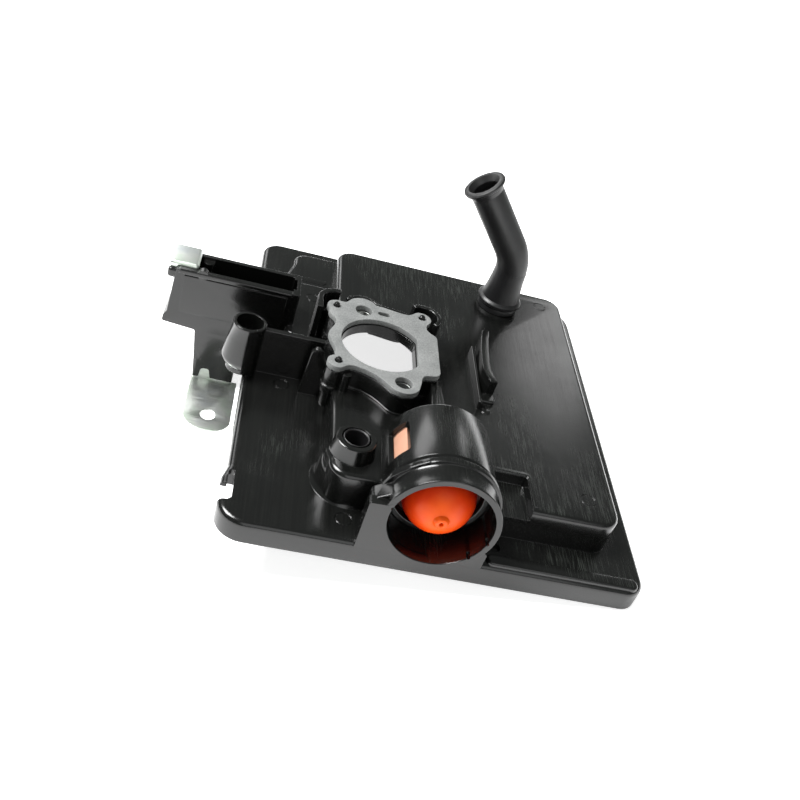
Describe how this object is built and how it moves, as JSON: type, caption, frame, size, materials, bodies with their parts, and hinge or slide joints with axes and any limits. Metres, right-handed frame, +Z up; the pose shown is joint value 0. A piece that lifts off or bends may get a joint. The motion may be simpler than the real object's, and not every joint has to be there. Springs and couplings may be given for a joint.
{
  "type": "air filter housing",
  "caption": "Moulded air cleaner base for a small engine, with a primer bulb in a barrel, a carburettor gasket, a breather elbow, a control arm and zinc-plated brackets.",
  "frame": {"origin": "middle of the bounding box in plan, at the underside of the lower bracket, the lowest point", "axes": "+X to the right along the rim's front edge, +Y from the primer's mouth to the back of the tray, +Z up, from the filter side to the carburettor side"},
  "size_m": [0.201, 0.1966, 0.1099],
  "materials": {
    "moulded_black": "satin moulded black thermoplastic with faint scuffs",
    "black_rubber": "satin black rubber",
    "red_rubber": "smooth translucent red-orange rubber",
    "gasket_fibre": "matt pressed grey fibre",
    "zinc_plate": "bright zinc plating on sheet steel"
  },
  "bodies": {
    "housing": {"base_tray": "moulded_black", "throat_platform": "moulded_black", "primer_barrel": "moulded_black", "guide_post": "moulded_black", "bushing_boss": "moulded_black", "control_arm": "moulded_black", "carburettor_gasket": "gasket_fibre", "bulb_skirt": "red_rubber", "bulb_ring": "moulded_black", "boss_bushing": "black_rubber", "stud_sleeve_rear": "zinc_plate", "stud_sleeve_front": "zinc_plate", "breather_tube": "black_rubber", "breather_grommet": "black_rubber", "upper_clip": "zinc_plate", "clip_screw": "zinc_plate", "lower_bracket": "zinc_plate", "bracket_screw": "zinc_plate"},
    "bulb": {"bulb_dome": "red_rubber"}
  },
  "joints": [
    {"name": "bulb_press", "type": "slide", "parent": "housing", "child": "bulb", "axis": [0, 1, 0], "range_m": [0, 0.008], "stiffness_N_per_m": 900}
  ]
}
